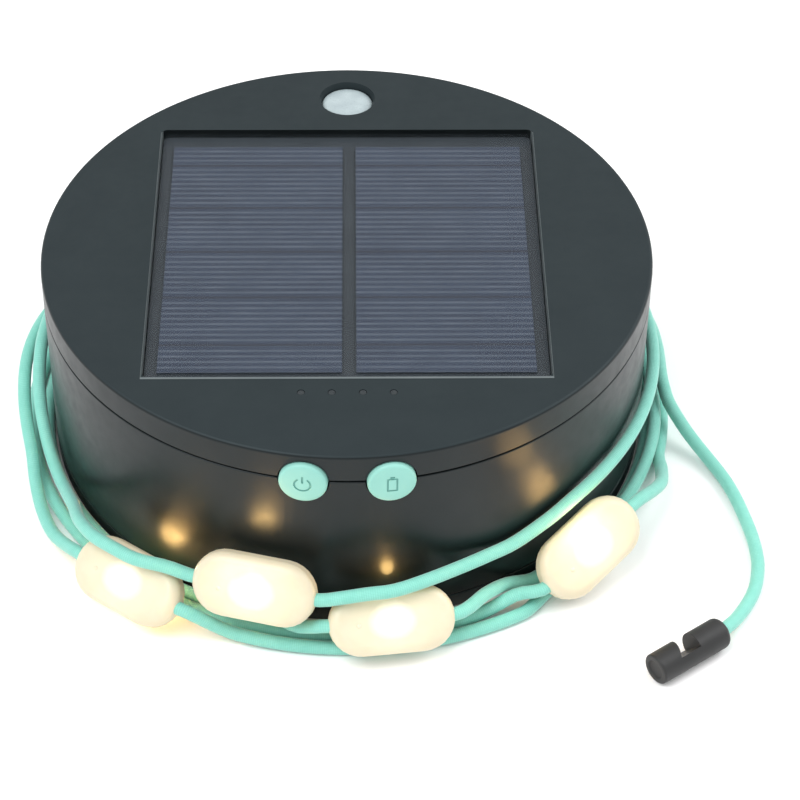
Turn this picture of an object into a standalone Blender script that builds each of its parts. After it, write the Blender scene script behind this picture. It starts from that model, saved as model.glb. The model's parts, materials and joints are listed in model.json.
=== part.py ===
"""Solar string lights: a round lantern puck with a thin light cord wound round it.

The frame has +Z up, its origin at the centre of the underside and the buttons facing -Y. Angles on the
puck run clockwise seen from above: 0 is the back (+Y), 90 the right (+X), 180 the front, 270 the left.
Lengths in this file are in millimetres, and every mesh is scaled to metres when it is made.
"""

import math

import bmesh
import bpy
from mathutils import Matrix, Vector

MM = 0.001
GAP = 0.3
NODE_GAP = 0.9
CUT = 0.5

# Driving dimensions of the puck
PUCK_RADIUS = 66.5
PUCK_HEIGHT = 48.0
WALL = 2.2
INNER_RADIUS = PUCK_RADIUS - WALL
SEAM_HEIGHT = 41.0
RIM_ROUND = 0.8
CAP_RIM_TOP = 4.0
DIVIDER_BOTTOM = 19.0
DIVIDER_TOP = 21.0
PLATE_BOTTOM = 46.0
NECK_RADIUS = 63.3
NECK_INNER = 61.7
NECK_TOP = 44.5
ROUND_STEPS = 60

# Solar panel recess in the top face
POCKET_HALF = 42.4
POCKET_FLOOR = 44.4
POCKET_ROUND = 1.2
TRAY_HALF = 44.5
TRAY_ROUND = 6.0
TRAY_BOTTOM = 42.6
CELL_LEFT = (-39.5, -1.1)
CELL_RIGHT = (1.9, 39.4)
CELL_FRONT_BACK = (-39.4, 37.7)

# Features of the top face and the walls
TORCH_Y = 54.6
TORCH_HOLE = 6.0
TORCH_BEZEL = 6.5
INDICATOR_Y = -47.1
INDICATOR_XS = (-9.5, -3.2, 3.2, 9.5)
SCREW_REACH = 39.6
BUTTON_ANGLE = 7.7
BUTTON_RADIUS = 5.0
BUTTON_FACE = 67.7
USB_HEIGHT = 32.6
USB_HINGE = (67.2, 28.4)
NOTCH_HALF = 4.6
NOTCH_TOP = 9.8

# Cord bay
HUB_RADIUS = 28.0
SPOOL_NECK = 25.0
SPOOL_BORE = 23.0
LUG_ANGLES = (30, 150, 270)
LUG_SPAN = 22

# Cord and LED nodes
CORD = 2.9
NODE_LENGTH = 26.5
NODE_WIDTH = 14.0
NODE_THICK = 6.0
ON_GROUND = 1.5
WALL_LANE = 68.4
MIDDLE_LANE = 71.9
OUTER_LANE = 75.4
VALLEY = (70.15, 4.75)
HOOK_START = (1572.8, 107.0, 3.5)
HOOK_TIP = (63.3, -83.6, 3.5)
HOOK_TILT = 41

# The cord runs clockwise from its exit at the back. A station is (angle, radius, height), where the
# angle keeps counting up from turn to turn. An LED node sits between each run and the next, as
# (angle, radius, height, lean of its face above the horizontal, fall of its leading end).
RUNS = (
    (
        (-4, 56.0, 9.8), (-2, 60.5, 8.4), (0, 65.5, 7.8), (3, 69.2, 7.5), (8, 71.2, 6.8),
        (16, MIDDLE_LANE, 4.6), (26, MIDDLE_LANE, ON_GROUND), (60, MIDDLE_LANE, ON_GROUND),
        (103, MIDDLE_LANE, ON_GROUND), (110, 74.2, 4.2), (117, 76.2, 8.6),
    ),
    (
        (151, 73.0, 5.2), (156, 72.1, 2.6), (161, MIDDLE_LANE, ON_GROUND),
        (200, MIDDLE_LANE, ON_GROUND),
        (250, MIDDLE_LANE, ON_GROUND), (300, 72.2, ON_GROUND), (308, 73.8, 2.6),
    ),
    (
        (340, 71.6, 1.9), (350, 68.8, ON_GROUND), (360, WALL_LANE, ON_GROUND),
        (430, WALL_LANE, ON_GROUND), (504, WALL_LANE, ON_GROUND), (510, 68.9, 4.4),
        (516, 71.6, 7.4),
    ),
    (
        (546, 74.8, 7.0), (549, 73.2, 5.3), (553, 70.7, 5.0), (558, 68.6, 3.2),
        (564, WALL_LANE, ON_GROUND), (600, WALL_LANE, ON_GROUND), (638, WALL_LANE, ON_GROUND),
        (650, 68.8, 4.6), (660, 70.6, 8.4), (670, MIDDLE_LANE, 12.2), (680, MIDDLE_LANE, 15.7),
        (690, MIDDLE_LANE, 18.8), (700, 70.6, 21.0), (712, 69.0, 22.4), (724, 69.6, 23.0),
    ),
    (
        (757, 69.2, 22.0), (770, WALL_LANE, 20.9), (790, WALL_LANE, 20.4), (812, 68.6, 20.2),
        (843, WALL_LANE, 20.0), (854, WALL_LANE, 19.4), (863, WALL_LANE, 17.4),
        (872, 68.6, 15.6), (880, 69.8, 15.8), (888, 73.2, 17.4), (895, 74.9, 17.4),
        (901, 74.9, 16.2),
    ),
    (
        (930, 76.0, 16.4), (936, 78.0, 16.8), (942, 78.0, 16.4), (948, 76.0, 14.2),
        (956, 71.8, 9.6), (964, 69.9, 6.6), (970, 69.7, 8.0), (976, 69.7, 12.0),
        (983, 69.4, 16.0), (991, 68.8, 19.6), (1010, WALL_LANE, 19.2), (1030, WALL_LANE, 17.8),
        (1050, WALL_LANE, 16.2), (1070, WALL_LANE, 15.0), (1100, WALL_LANE, 12.9),
        (1114, 69.6, 11.2),
    ),
    (
        (1146, 70.0, 9.8), (1156, 69.0, 7.6), (1168, 69.5, 5.2), (1180, *VALLEY),
        (1206, *VALLEY), (1213, 71.5, 3.7), (1221, MIDDLE_LANE, ON_GROUND), (1226, 73.6, ON_GROUND),
        (1231, OUTER_LANE, ON_GROUND), (1262, OUTER_LANE, ON_GROUND), (1278, 75.6, 2.2),
    ),
    (
        (1310, 78.0, 6.2), (1316, 77.3, 3.8), (1322, 75.9, 3.4), (1328, 74.4, 5.2),
        (1333, 73.3, 8.4), (1342, 73.0, 12.8), (1350, 72.4, 15.6), (1358, 71.2, 16.4),
        (1370, 69.2, 15.4), (1382, WALL_LANE, 14.2), (1410, WALL_LANE, 12.4),
        (1430, 69.6, 11.4), (1439, 71.5, 11.2), (1446, 73.2, 10.2), (1452, 76.8, 7.0),
        (1457, 80.6, 4.2),
    ),
    (
        (1484, 80.2, 2.4), (1494, 78.6, 2.0), (1504, 76.2, 4.0), (1513, 74.2, 6.6),
        (1521, 72.6, 8.2), (1529, 71.7, 8.6), (1534, 72.6, 7.8), (1538, 76.0, 5.2),
        (1542, 81.4, 2.4), (1546, 86.8, ON_GROUND), (1553, 94.6, ON_GROUND),
        (1558, 100.2, ON_GROUND), (1561, 103.0, ON_GROUND), (1565, 105.4, ON_GROUND),
        (1569, 106.4, 1.9), HOOK_START,
    ),
)
NODES = (
    (136.9, 74.7, 9.9, 50, 14),
    (323.0, 74.0, 3.4, 90, 0),
    (533.1, 74.9, 8.9, 47, 0),
    (740.0, 70.1, 23.2, 0, 0),
    (915.2, 73.2, 14.8, 30, 0),
    (1130.0, 70.1, 10.9, 0, 0),
    (1296.4, 77.4, 8.2, 47, 0),
    (1470.0, 81.0, 3.4, 90, 0),
)
SAMPLE_STEP = 0.5
CORD_STEP = 9.6


# ---------------------------------------------------------------- materials and objects


def material(name, colour, roughness, metallic=0.0, transmission=0.0):
    """A Principled material with the piece's colour, roughness and metallic value."""
    made = bpy.data.materials.new(name)
    made.use_nodes = True
    shader = made.node_tree.nodes["Principled BSDF"]
    shader.inputs["Base Color"].default_value = (*colour, 1.0)
    shader.inputs["Roughness"].default_value = roughness
    shader.inputs["Metallic"].default_value = metallic
    shader.inputs["Transmission Weight"].default_value = transmission
    made.diffuse_color = (*colour, 1.0)
    return made


def clear_scene():
    for obj in list(bpy.data.objects):
        bpy.data.objects.remove(obj)


def place(name, bm, look, origin=(0, 0, 0)):
    """Turns a bmesh in millimetres into a named object whose origin is at the given point."""
    bmesh.ops.recalc_face_normals(bm, faces=bm.faces)
    bmesh.ops.translate(bm, verts=bm.verts, vec=-Vector(origin))
    bmesh.ops.scale(bm, verts=bm.verts, vec=(MM, MM, MM))
    mesh = bpy.data.meshes.new(name)
    bm.to_mesh(mesh)
    bm.free()
    mesh.shade_smooth()
    mesh.set_sharp_from_angle(angle=math.radians(32))
    obj = bpy.data.objects.new(name, mesh)
    obj.location = Vector(origin) * MM
    bpy.context.scene.collection.objects.link(obj)
    if look:
        mesh.materials.append(look)
    return obj


def combine(target, operation, *shapes):
    """Applies hidden helper shapes to the target, one Boolean modifier each."""
    for index, shape in enumerate(shapes):
        helper = place(f"{target.name}.{operation.lower()}.{len(target.modifiers)}", shape, None)
        helper.hide_render = True
        helper.display_type = "WIRE"
        modifier = target.modifiers.new(f"{operation} {index}", "BOOLEAN")
        modifier.operation = operation
        modifier.object = helper


def cut(target, *shapes):
    combine(target, "DIFFERENCE", *shapes)


def join(target, *shapes):
    combine(target, "UNION", *shapes)


# ---------------------------------------------------------------- shapes, in millimetres


def around(angle, radius, height):
    """The point at an angle clockwise from the back, at a radius and a height."""
    turn = math.radians(angle)
    return Vector((radius * math.sin(turn), radius * math.cos(turn), height))


def turned(profile, steps=ROUND_STEPS):
    """A closed (radius, height) outline spun round the Z axis."""
    bm = bmesh.new()
    ring = [bm.verts.new((radius, 0, height)) for radius, height in profile]
    for first, second in zip(ring, ring[1:] + ring[:1]):
        if first.co.x or second.co.x:
            bm.edges.new((first, second))
    bmesh.ops.spin(
        bm, geom=bm.verts[:] + bm.edges[:], cent=(0, 0, 0), axis=(0, 0, 1),
        angle=math.tau, steps=steps, use_merge=True,
    )
    bmesh.ops.remove_doubles(bm, verts=bm.verts, dist=0.001)
    return bm


def prism(outline, bottom, top):
    """A flat (x, y) outline raised from bottom to top."""
    bm = bmesh.new()
    floor = bm.faces.new([bm.verts.new((x, y, bottom)) for x, y in outline])
    raised = bmesh.ops.extrude_face_region(bm, geom=[floor])["geom"]
    points = [item for item in raised if isinstance(item, bmesh.types.BMVert)]
    bmesh.ops.translate(bm, verts=points, vec=(0, 0, top - bottom))
    return bm


def block(x, y, z):
    """A box from three (low, high) pairs."""
    return prism([(x[0], y[0]), (x[1], y[0]), (x[1], y[1]), (x[0], y[1])], z[0], z[1])


def rounded_block(x, y, z, corner, steps=3):
    """A box whose four upright edges are rounded."""
    outline = []
    centres = ((x[1] - corner, y[1] - corner), (x[0] + corner, y[1] - corner),
               (x[0] + corner, y[0] + corner), (x[1] - corner, y[0] + corner))
    for quarter, (cx, cy) in enumerate(centres):
        for step in range(steps + 1):
            turn = math.pi / 2 * (quarter + step / steps)
            outline.append((cx + corner * math.cos(turn), cy + corner * math.sin(turn)))
    return prism(outline, z[0], z[1])


def sector(radii, angles, heights, steps=8):
    """A block that follows the puck's curve between two angles."""
    spread = [angles[0] + (angles[1] - angles[0]) * step / steps for step in range(steps + 1)]
    outline = [around(angle, radii[1], 0).to_2d() for angle in spread]
    outline += [around(angle, radii[0], 0).to_2d() for angle in reversed(spread)]
    return prism(outline, heights[0], heights[1])


def moved(bm, matrix):
    bmesh.ops.transform(bm, matrix=matrix, verts=bm.verts)
    return bm


def at(bm, x, y, z=0.0):
    return moved(bm, Matrix.Translation((x, y, z)))


def disc(radius, bottom, top, steps=16):
    """An upright cylinder on the Z axis."""
    return turned([(0, bottom), (radius, bottom), (radius, top), (0, top)], steps)


def outward(bm, angle, height=0.0):
    """Lays a shape's Z axis along the radius at an angle, at a height."""
    lay = Matrix.Rotation(math.radians(-angle), 4, "Z") @ Matrix.Rotation(-math.pi / 2, 4, "X")
    return moved(bm, Matrix.Translation((0, 0, height)) @ lay)


def aimed(bm, start, end):
    """Puts a shape's origin at start and points its Z axis at end."""
    turn = (Vector(end) - Vector(start)).to_track_quat("Z", "Y").to_matrix().to_4x4()
    return moved(bm, Matrix.Translation(start) @ turn)


# ---------------------------------------------------------------- housing


def base_cap(look):
    """The twist-off cover of the cord bay. Three lugs in its hub hook over the spool's."""
    lip = INNER_RADIUS - 0.4
    hub_outer, hub_inner = HUB_RADIUS + 0.9, HUB_RADIUS - 0.9
    plate = 2.4
    cap = place("base_cap", turned([
        (0, 0), (PUCK_RADIUS - RIM_ROUND, 0), (PUCK_RADIUS, RIM_ROUND),
        (PUCK_RADIUS, CAP_RIM_TOP), (lip, CAP_RIM_TOP), (lip, CAP_RIM_TOP + 1.5),
        (lip - 1.6, CAP_RIM_TOP + 1.5), (lip - 1.6, plate), (hub_outer, plate),
        (hub_outer, 6.6), (hub_inner, 6.6), (hub_inner, plate), (0, plate),
    ]), look)
    for angle in LUG_ANGLES:
        span = (angle - LUG_SPAN / 2, angle + LUG_SPAN / 2)
        join(cap, sector((25.4, HUB_RADIUS), span, (5.0, 6.3), 4))
    return cap


def cord_spool(look):
    """The drum that the spare cord is wound on, with bayonet lugs at its lower end."""
    spool = place("cord_spool", turned([
        (SPOOL_BORE, 3.2), (SPOOL_NECK, 3.2), (SPOOL_NECK, 6.9), (38.0, 6.9), (38.0, 8.4),
        (31.0, 8.4), (31.0, DIVIDER_BOTTOM - GAP), (SPOOL_BORE, DIVIDER_BOTTOM - GAP),
    ], 48), look)
    for angle in LUG_ANGLES:
        span = (angle - LUG_SPAN / 2, angle + LUG_SPAN / 2)
        join(spool, sector((SPOOL_NECK - 1.0, 26.6), span, (3.4, 4.7), 4))


def stowed_cord(look):
    """The wound length of cord that stays in the bay, as one ring."""
    inner, outer, low, high, edge = 31.4, 53.0, 8.8, 18.5, 2.0
    place("stowed_cord", turned([
        (inner, low), (outer - edge, low), (outer, low + edge), (outer, high - edge),
        (outer - edge, high), (inner, high),
    ], 40), look)


def button_openings():
    """One round hole through the front wall for each button."""
    hole = BUTTON_RADIUS + GAP
    return [
        outward(disc(hole, 58.0, 70.0, 24), 180 + side * BUTTON_ANGLE, SEAM_HEIGHT)
        for side in (-1, 1)
    ]


def corner_points():
    return [(x * SCREW_REACH, y * SCREW_REACH) for x, y in ((1, 1), (-1, 1), (-1, -1), (1, -1))]


def lower_housing(look):
    """The tub: outer wall, the floor between the cord bay and the electronics, and the neck."""
    ledge = 38.6
    groove = NECK_RADIUS - 0.7
    tub = place("lower_housing", turned([
        (0, DIVIDER_BOTTOM), (INNER_RADIUS, DIVIDER_BOTTOM), (INNER_RADIUS, CAP_RIM_TOP + GAP),
        (PUCK_RADIUS, CAP_RIM_TOP + GAP), (PUCK_RADIUS, SEAM_HEIGHT), (NECK_RADIUS, SEAM_HEIGHT),
        (NECK_RADIUS, 42.2), (groove, 42.2), (groove, 43.6), (NECK_RADIUS, 43.6),
        (NECK_RADIUS, NECK_TOP), (NECK_INNER, NECK_TOP), (NECK_INNER, ledge),
        (INNER_RADIUS, ledge - 2.6), (INNER_RADIUS, DIVIDER_TOP), (0, DIVIDER_TOP),
    ]), look)
    low = DIVIDER_TOP - CUT
    join(tub, *[at(disc(2.6, low, 32.7, 10), x, y) for x in (-30, 30) for y in (-44, -14)])
    join(tub, *[at(disc(2.2, low, 28.8, 10), x, 50.5) for x in (-8, 8)])
    cut(tub, *button_openings())
    cut(tub, *[at(disc(1.6, 17.0, 23.0, 12), x, y) for x, y in corner_points()])
    cut(tub, at(disc(2.5, 17.0, 23.0, 12), 0, -42.0))
    cut(tub, block((-NOTCH_HALF, NOTCH_HALF), (60.0, 70.0), (3.0, NOTCH_TOP)))
    cut(tub, block((-4.9, 4.9), (60.0, 70.0), (USB_HEIGHT - 2.2, USB_HEIGHT + 2.2)))


def housing_seal(look):
    """The O-ring in the neck's groove. It stops on each side of the buttons."""
    gap = BUTTON_ANGLE + 7
    span = (180 + gap, 540 - gap)
    place("housing_seal", sector((62.9, 64.0), span, (42.45, 43.35), 44), look)


def top_cover(look):
    """The lid: its skirt meets the lower housing at the seam, and it holds the solar panel."""
    lid = place("top_cover", turned([
        (0, PLATE_BOTTOM), (INNER_RADIUS, PLATE_BOTTOM), (INNER_RADIUS, SEAM_HEIGHT + GAP),
        (PUCK_RADIUS, SEAM_HEIGHT + GAP), (PUCK_RADIUS, PUCK_HEIGHT - RIM_ROUND),
        (PUCK_RADIUS - RIM_ROUND * 0.3, PUCK_HEIGHT - RIM_ROUND * 0.3),
        (PUCK_RADIUS - RIM_ROUND, PUCK_HEIGHT), (0, PUCK_HEIGHT),
    ], 72), look)
    tray, pocket = (-TRAY_HALF, TRAY_HALF), (-POCKET_HALF, POCKET_HALF)
    join(lid, rounded_block(tray, tray, (TRAY_BOTTOM, PLATE_BOTTOM + CUT), TRAY_ROUND))
    join(lid, *[at(disc(3.5, 21.3, 43.5, 12), x, y) for x, y in corner_points()])
    cut(lid, rounded_block(pocket, pocket, (POCKET_FLOOR, PUCK_HEIGHT + 1), POCKET_ROUND))
    cut(lid, *[at(disc(1.45, 20.0, 40.0, 10), x, y) for x, y in corner_points()])
    cut(lid, at(disc(3.0, 41.0, 46.0, 10), 0, 0))
    cut(lid, at(turned([
        (0, 45.0), (TORCH_HOLE, 45.0), (TORCH_HOLE, 46.9), (TORCH_BEZEL, 48.1), (0, 48.1),
    ], 32), 0, TORCH_Y))
    cut(lid, *[at(disc(1.0, 45.0, 49.0, 10), x, INDICATOR_Y) for x in INDICATOR_XS])
    cut(lid, *button_openings())


# ---------------------------------------------------------------- solar panel, torch and indicators


def solar_panel(adhesive, board, cell, sheet):
    """The stack in the pocket: adhesive frame, back board, two cells and a clear sheet."""
    edge = POCKET_HALF - GAP
    span = (-edge, edge)
    strip = rounded_block(span, span, (44.7, 45.1), POCKET_ROUND, 2)
    frame = place("solar_adhesive", strip, adhesive)
    hole = (-edge + 4, edge - 4)
    cut(frame, block(hole, hole, (44.0, 46.0)))
    place("solar_back_board", rounded_block(span, span, (45.4, 46.0), POCKET_ROUND, 2), board)
    place("solar_cell_left", block(CELL_LEFT, CELL_FRONT_BACK, (46.3, 46.55)), cell)
    place("solar_cell_right", block(CELL_RIGHT, CELL_FRONT_BACK, (46.3, 46.55)), cell)
    place("solar_cover_sheet", rounded_block(span, span, (46.85, 47.15), POCKET_ROUND, 2), sheet)


def torch(lens, mirror, led):
    """The downward light: a clear lens from below, its reflector and its LED."""
    place("torch_lens", at(turned([
        (0, 44.5), (TORCH_BEZEL, 44.5), (TORCH_BEZEL, 45.7), (TORCH_HOLE - GAP, 45.7),
        (TORCH_HOLE - GAP, 46.6), (TORCH_HOLE - 0.8, 46.9), (0, 46.9),
    ], 32), 0, TORCH_Y), lens)
    place("torch_reflector", at(turned([
        (1.8, 38.4), (2.6, 38.4), (6.2, 42.5), (6.2, 44.2), (5.4, 44.2), (1.8, 39.2),
    ], 24), 0, TORCH_Y), mirror)
    place("torch_led", at(turned([
        (0, 36.8), (3.0, 36.8), (3.0, 37.8), (1.4, 37.8), (1.4, 38.5), (0.9, 38.9), (0, 38.9),
    ], 16), 0, TORCH_Y), led)


def indicators(guide, led):
    """Four light pipes on one bar, over a strip of four LEDs."""
    half = INDICATOR_XS[-1] + 1.6
    bar = place("indicator_light_guide", block(
        (-half, half), (INDICATOR_Y - 1.2, INDICATOR_Y + 1.2), (41.0, 42.2)), guide)
    join(bar, *[at(disc(0.7, 36.2, 47.9, 10), x, INDICATOR_Y) for x in INDICATOR_XS])
    strip = place("indicator_led_strip", block(
        (-half, half), (INDICATOR_Y - 1.5, INDICATOR_Y + 1.5), (34.9, 35.4)), led)
    for x in INDICATOR_XS:
        join(strip, block((x - 0.8, x + 0.8), (INDICATOR_Y - 0.7, INDICATOR_Y + 0.7), (35.2, 35.9)))


# ---------------------------------------------------------------- buttons and their switches


def push_button(name, angle, look):
    """A sprung button: round cap, retaining bar behind the wall and a stem to its switch."""
    bar_back, bar_front = 59.9, 60.9
    cap = turned([
        (0, bar_back + GAP), (BUTTON_RADIUS, bar_back + GAP), (BUTTON_RADIUS, BUTTON_FACE - 0.6),
        (BUTTON_RADIUS - 0.6, BUTTON_FACE), (0, BUTTON_FACE),
    ], 24)
    button = place(name, outward(cap, angle, SEAM_HEIGHT), look, around(angle, 64, SEAM_HEIGHT))
    bar = block((-6.4, 6.4), (-3.5, 3.5), (bar_back, bar_front))
    stem = disc(1.8, 58.6, bar_back + 1.0, 12)
    join(button, outward(bar, angle, SEAM_HEIGHT), outward(stem, angle, SEAM_HEIGHT))


def tact_switch(name, angle, look):
    """A square switch body with its plunger pointing at the button's stem."""
    body = outward(block((-3, 3), (-3, 3), (53.4, 56.6)), angle, SEAM_HEIGHT)
    switch = place(name, body, look)
    join(switch, outward(disc(1.5, 56.0, 57.7, 12), angle, SEAM_HEIGHT))


def buttons(mint, board, dark):
    for name, side in (("power", 1), ("battery", -1)):
        angle = 180 + side * BUTTON_ANGLE
        push_button(f"{name}_button", angle, mint)
        tact_switch(f"{name}_switch", angle, dark)
    place("button_board", sector((52.0, 53.1), (163, 197), (36.5, 45.4), 8), board)


# ---------------------------------------------------------------- electronics bay


def electronics(board, dark, cell, cradle, steel):
    """The main board with its controller, and the rechargeable cell in its cradle."""
    main = place("main_circuit_board", rounded_block((-35, 35), (-48.5, -9), (33.0, 34.6), 2), board)
    cut(main, *[at(disc(1.6, 30, 37, 10), x, -14) for x in (-30, 30)])
    place("controller_chip", block((-5, 5), (-33, -23), (34.9, 36.4)), dark)
    for side, x in (("left", -30), ("right", 30)):
        place(f"board_screw_{side}", at(turned([
            (0, 33.0), (1.2, 33.0), (1.2, 34.9), (2.6, 34.9), (2.6, 36.0), (2.0, 36.6), (0, 36.6),
        ], 12), x, -14), steel)
    place("battery_cell", aimed(turned([
        (0, 0), (9.2, 0), (9.2, 64.0), (3.5, 64.0), (3.5, 65.4), (0, 65.4),
    ], 24), (-32.7, 12, USB_HEIGHT), (0, 12, USB_HEIGHT)), cell)
    bed = place("battery_cradle", block((-34, 34), (1.5, 22.5), (DIVIDER_TOP + GAP, 29.5)), cradle)
    cut(bed, aimed(disc(9.5, -2, 70, 24), (-34, 12, USB_HEIGHT), (0, 12, USB_HEIGHT)))


def usb_port(board, steel, rubber):
    """The charging socket on its board, and the rubber cover hinged along its lower edge."""
    z = USB_HEIGHT
    place("usb_board", block((-11, 11), (45, 61.5), (29.1, 30.7)), board)
    shell = place("usb_socket", rounded_block(
        (-4.5, 4.5), (56.5, 63.4), (z - 1.6, z + 1.6), 0.6, 2), steel)
    cut(shell, block((-3.9, 3.9), (57.5, 65.0), (z - 1.0, z + 1.0)))
    hinge_y, hinge_z = USB_HINGE
    flap = place("usb_cover", moved(
        rounded_block((-7.5, 7.5), (hinge_z - 0.3, 37.0), (hinge_y - 0.4, BUTTON_FACE), 1.6, 3),
        Matrix(((1, 0, 0, 0), (0, 0, 1, 0), (0, 1, 0, 0), (0, 0, 0, 1)))),
        rubber, (0, hinge_y, hinge_z))
    join(flap, block((-4.2, 4.2), (65.0, hinge_y + 0.2), (31.2, 34.0)))


def fasteners(steel, gland):
    """Four housing screws driven up from the cord bay, and the gland of the cord."""
    for number, (x, y) in enumerate(corner_points(), 1):
        place(f"housing_screw_{number}", at(turned([
            (0, 17.1), (2.2, 17.1), (2.6, 17.6), (2.6, 18.7), (1.15, 18.7), (1.15, 31.0), (0, 31.0),
        ], 12), x, y), steel)
    place("cord_gland", at(turned([
        (0, 18.85), (2.1, 18.85), (2.1, DIVIDER_TOP + GAP), (4.2, DIVIDER_TOP + GAP), (4.2, 23.0),
        (2.4, 24.5), (0, 24.5),
    ], 16), 0, -42.0), gland)


# ---------------------------------------------------------------- cord, LED nodes and hook


def node_axes(node):
    """A node's centre, its long axis along the cord and the direction that its face looks in."""
    angle, radius, height, lean, fall = node
    lean, fall = math.radians(lean), math.radians(fall)
    out = around(angle, 1, 0)
    along = around(angle + 90, math.cos(fall), -math.sin(fall))
    face = out * math.cos(lean) + Vector((0, 0, math.sin(lean)))
    face = (face - along * face.dot(along)).normalized()
    return around(angle, radius, height), along, face


def node_stations(node):
    """The cord's stations as it enters a node, at its middle and as it leaves it."""
    centre, along, _ = node_axes(node)
    turn = node[0] // 360 * 360
    found = []
    for reach in (-NODE_LENGTH / 2, 0, NODE_LENGTH / 2):
        point = centre + along * reach
        angle = turn + math.degrees(math.atan2(point.x, point.y)) % 360
        found.append((angle, point.to_2d().length, point.z))
    return found


def smooth(stations, column, angle):
    """One column of the stations at an angle, on a smooth curve that never overshoots."""
    index = max(i for i, row in enumerate(stations[:-1]) if row[0] <= angle)

    def rise(i):
        if not 0 <= i < len(stations) - 1:
            return 0.0
        step = stations[i + 1][0] - stations[i][0]
        return (stations[i + 1][column] - stations[i][column]) / step

    def slope(i):
        before, after = rise(i - 1), rise(i)
        return 2 * before * after / (before + after) if before * after > 0 else 0.0

    low, high = stations[index], stations[index + 1]
    step = high[0] - low[0]
    t = (angle - low[0]) / step
    return (
        low[column] * (1 + 2 * t) * (1 - t) ** 2 + high[column] * t * t * (3 - 2 * t)
        + step * slope(index) * t * (1 - t) ** 2 - step * slope(index + 1) * t * t * (1 - t)
    )


def cord_routes():
    """The centreline of each run between two nodes, as points in millimetres."""
    stations, starts = [], []
    for number, run in enumerate(RUNS):
        starts.append(len(stations) - 1)
        stations += run
        if number < len(NODES):
            stations += node_stations(NODES[number])
    routes = []
    for number, run in enumerate(RUNS):
        first = stations[starts[number]][0] if number else run[0][0]
        last = stations[starts[number + 1] - 2][0] if number < len(NODES) else run[-1][0]
        count = round((last - first) / SAMPLE_STEP)
        angles = [first + (last - first) * i / count for i in range(count + 1)]
        routes.append([around(a, smooth(stations, 1, a), smooth(stations, 2, a)) for a in angles])
    return routes


def spaced(points, step, trim_start, trim_end):
    """The same line with evenly spaced points, shortened a little at its ends."""
    length = [0.0]
    for first, second in zip(points, points[1:]):
        length.append(length[-1] + (second - first).length)
    begin, end = trim_start, length[-1] - trim_end
    count = max(2, round((end - begin) / step))
    found = []
    for number in range(count + 1):
        place_along = begin + (end - begin) * number / count
        index = max(i for i, done in enumerate(length[:-1]) if done <= place_along)
        part = (place_along - length[index]) / (length[index + 1] - length[index])
        found.append(points[index].lerp(points[index + 1], min(part, 1.0)))
    return found


def tube(name, points, look):
    """A round tube of the cord's diameter along a line of points."""
    curve = bpy.data.curves.new(name, "CURVE")
    curve.dimensions = "3D"
    curve.bevel_depth = CORD / 2 * MM
    curve.bevel_resolution = 2
    curve.use_fill_caps = True
    spline = curve.splines.new("POLY")
    spline.points.add(len(points) - 1)
    for target, point in zip(spline.points, points):
        target.co = (*(point * MM), 1)
    curve.materials.append(look)
    bpy.context.scene.collection.objects.link(bpy.data.objects.new(name, curve))


def cord_runs(look):
    for number, points in enumerate(cord_routes(), 1):
        after_node = NODE_GAP if number > 1 else 0.0
        tube(f"cord_run_{number}", spaced(points, CORD_STEP, after_node, NODE_GAP), look)


def led_node(name, node, look):
    """A pill with rounded edges, lying along the cord."""
    half_width, half_length = NODE_WIDTH / 2, NODE_LENGTH / 2
    edge = 1.8
    straight = half_length - half_width
    steps = 6
    rings = []
    bm = bmesh.new()
    for inset, height in ((edge, -1), (edge * 0.3, -0.75), (0, -0.35), (0, 0.35),
                          (edge * 0.3, 0.75), (edge, 1)):
        radius = half_width - inset
        ring = []
        for end in (1, -1):
            for step in range(steps + 1):
                turn = math.pi * step / steps - math.pi / 2
                x = end * (straight + radius * math.cos(turn))
                ring.append(bm.verts.new((x, end * radius * math.sin(turn),
                                          height * NODE_THICK / 2)))
        rings.append(ring)
    for lower, upper in zip(rings, rings[1:]):
        for i, vert in enumerate(lower):
            j = (i + 1) % len(lower)
            bm.faces.new((vert, lower[j], upper[j], upper[i]))
    bm.faces.new(rings[0])
    bm.faces.new(rings[-1])
    centre, along, face = node_axes(node)
    across = face.cross(along)
    turn = Matrix((along, across, face)).transposed().to_4x4()
    place(name, moved(bm, Matrix.Translation(centre) @ turn), look, centre)


def hook_clip(look):
    """The hook on the cord's end: a round peg with an undercut side notch that the cord catches in."""
    start = around(*HOOK_START)
    end = Vector(HOOK_TIP)
    direction = (end - start).normalized()
    start = start + direction * GAP
    length = (end - start).length
    radius = 3.4
    peg = aimed(turned([
        (0, 0), (radius - 1.0, 0), (radius, 1.2), (radius, length - 0.8),
        (radius - 0.6, length), (0, length),
    ], 20), start, end)
    hook = place("hook_clip", peg, look, start)
    floor, mouth = -0.1, 6.0
    notch = prism([(floor, -1.1), (mouth, -1.1), (mouth, 1.7), (floor, 4.2)], -mouth, mouth)
    level = Vector((direction.y, -direction.x, 0))
    tilt = math.radians(HOOK_TILT)
    opening = level * math.cos(tilt) + Vector((0, 0, math.sin(tilt)))
    basis = Matrix((opening, direction, opening.cross(direction))).transposed().to_4x4()
    cut(hook, moved(notch, Matrix.Translation(start + direction * length / 2) @ basis))


# ---------------------------------------------------------------- the whole object


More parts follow.
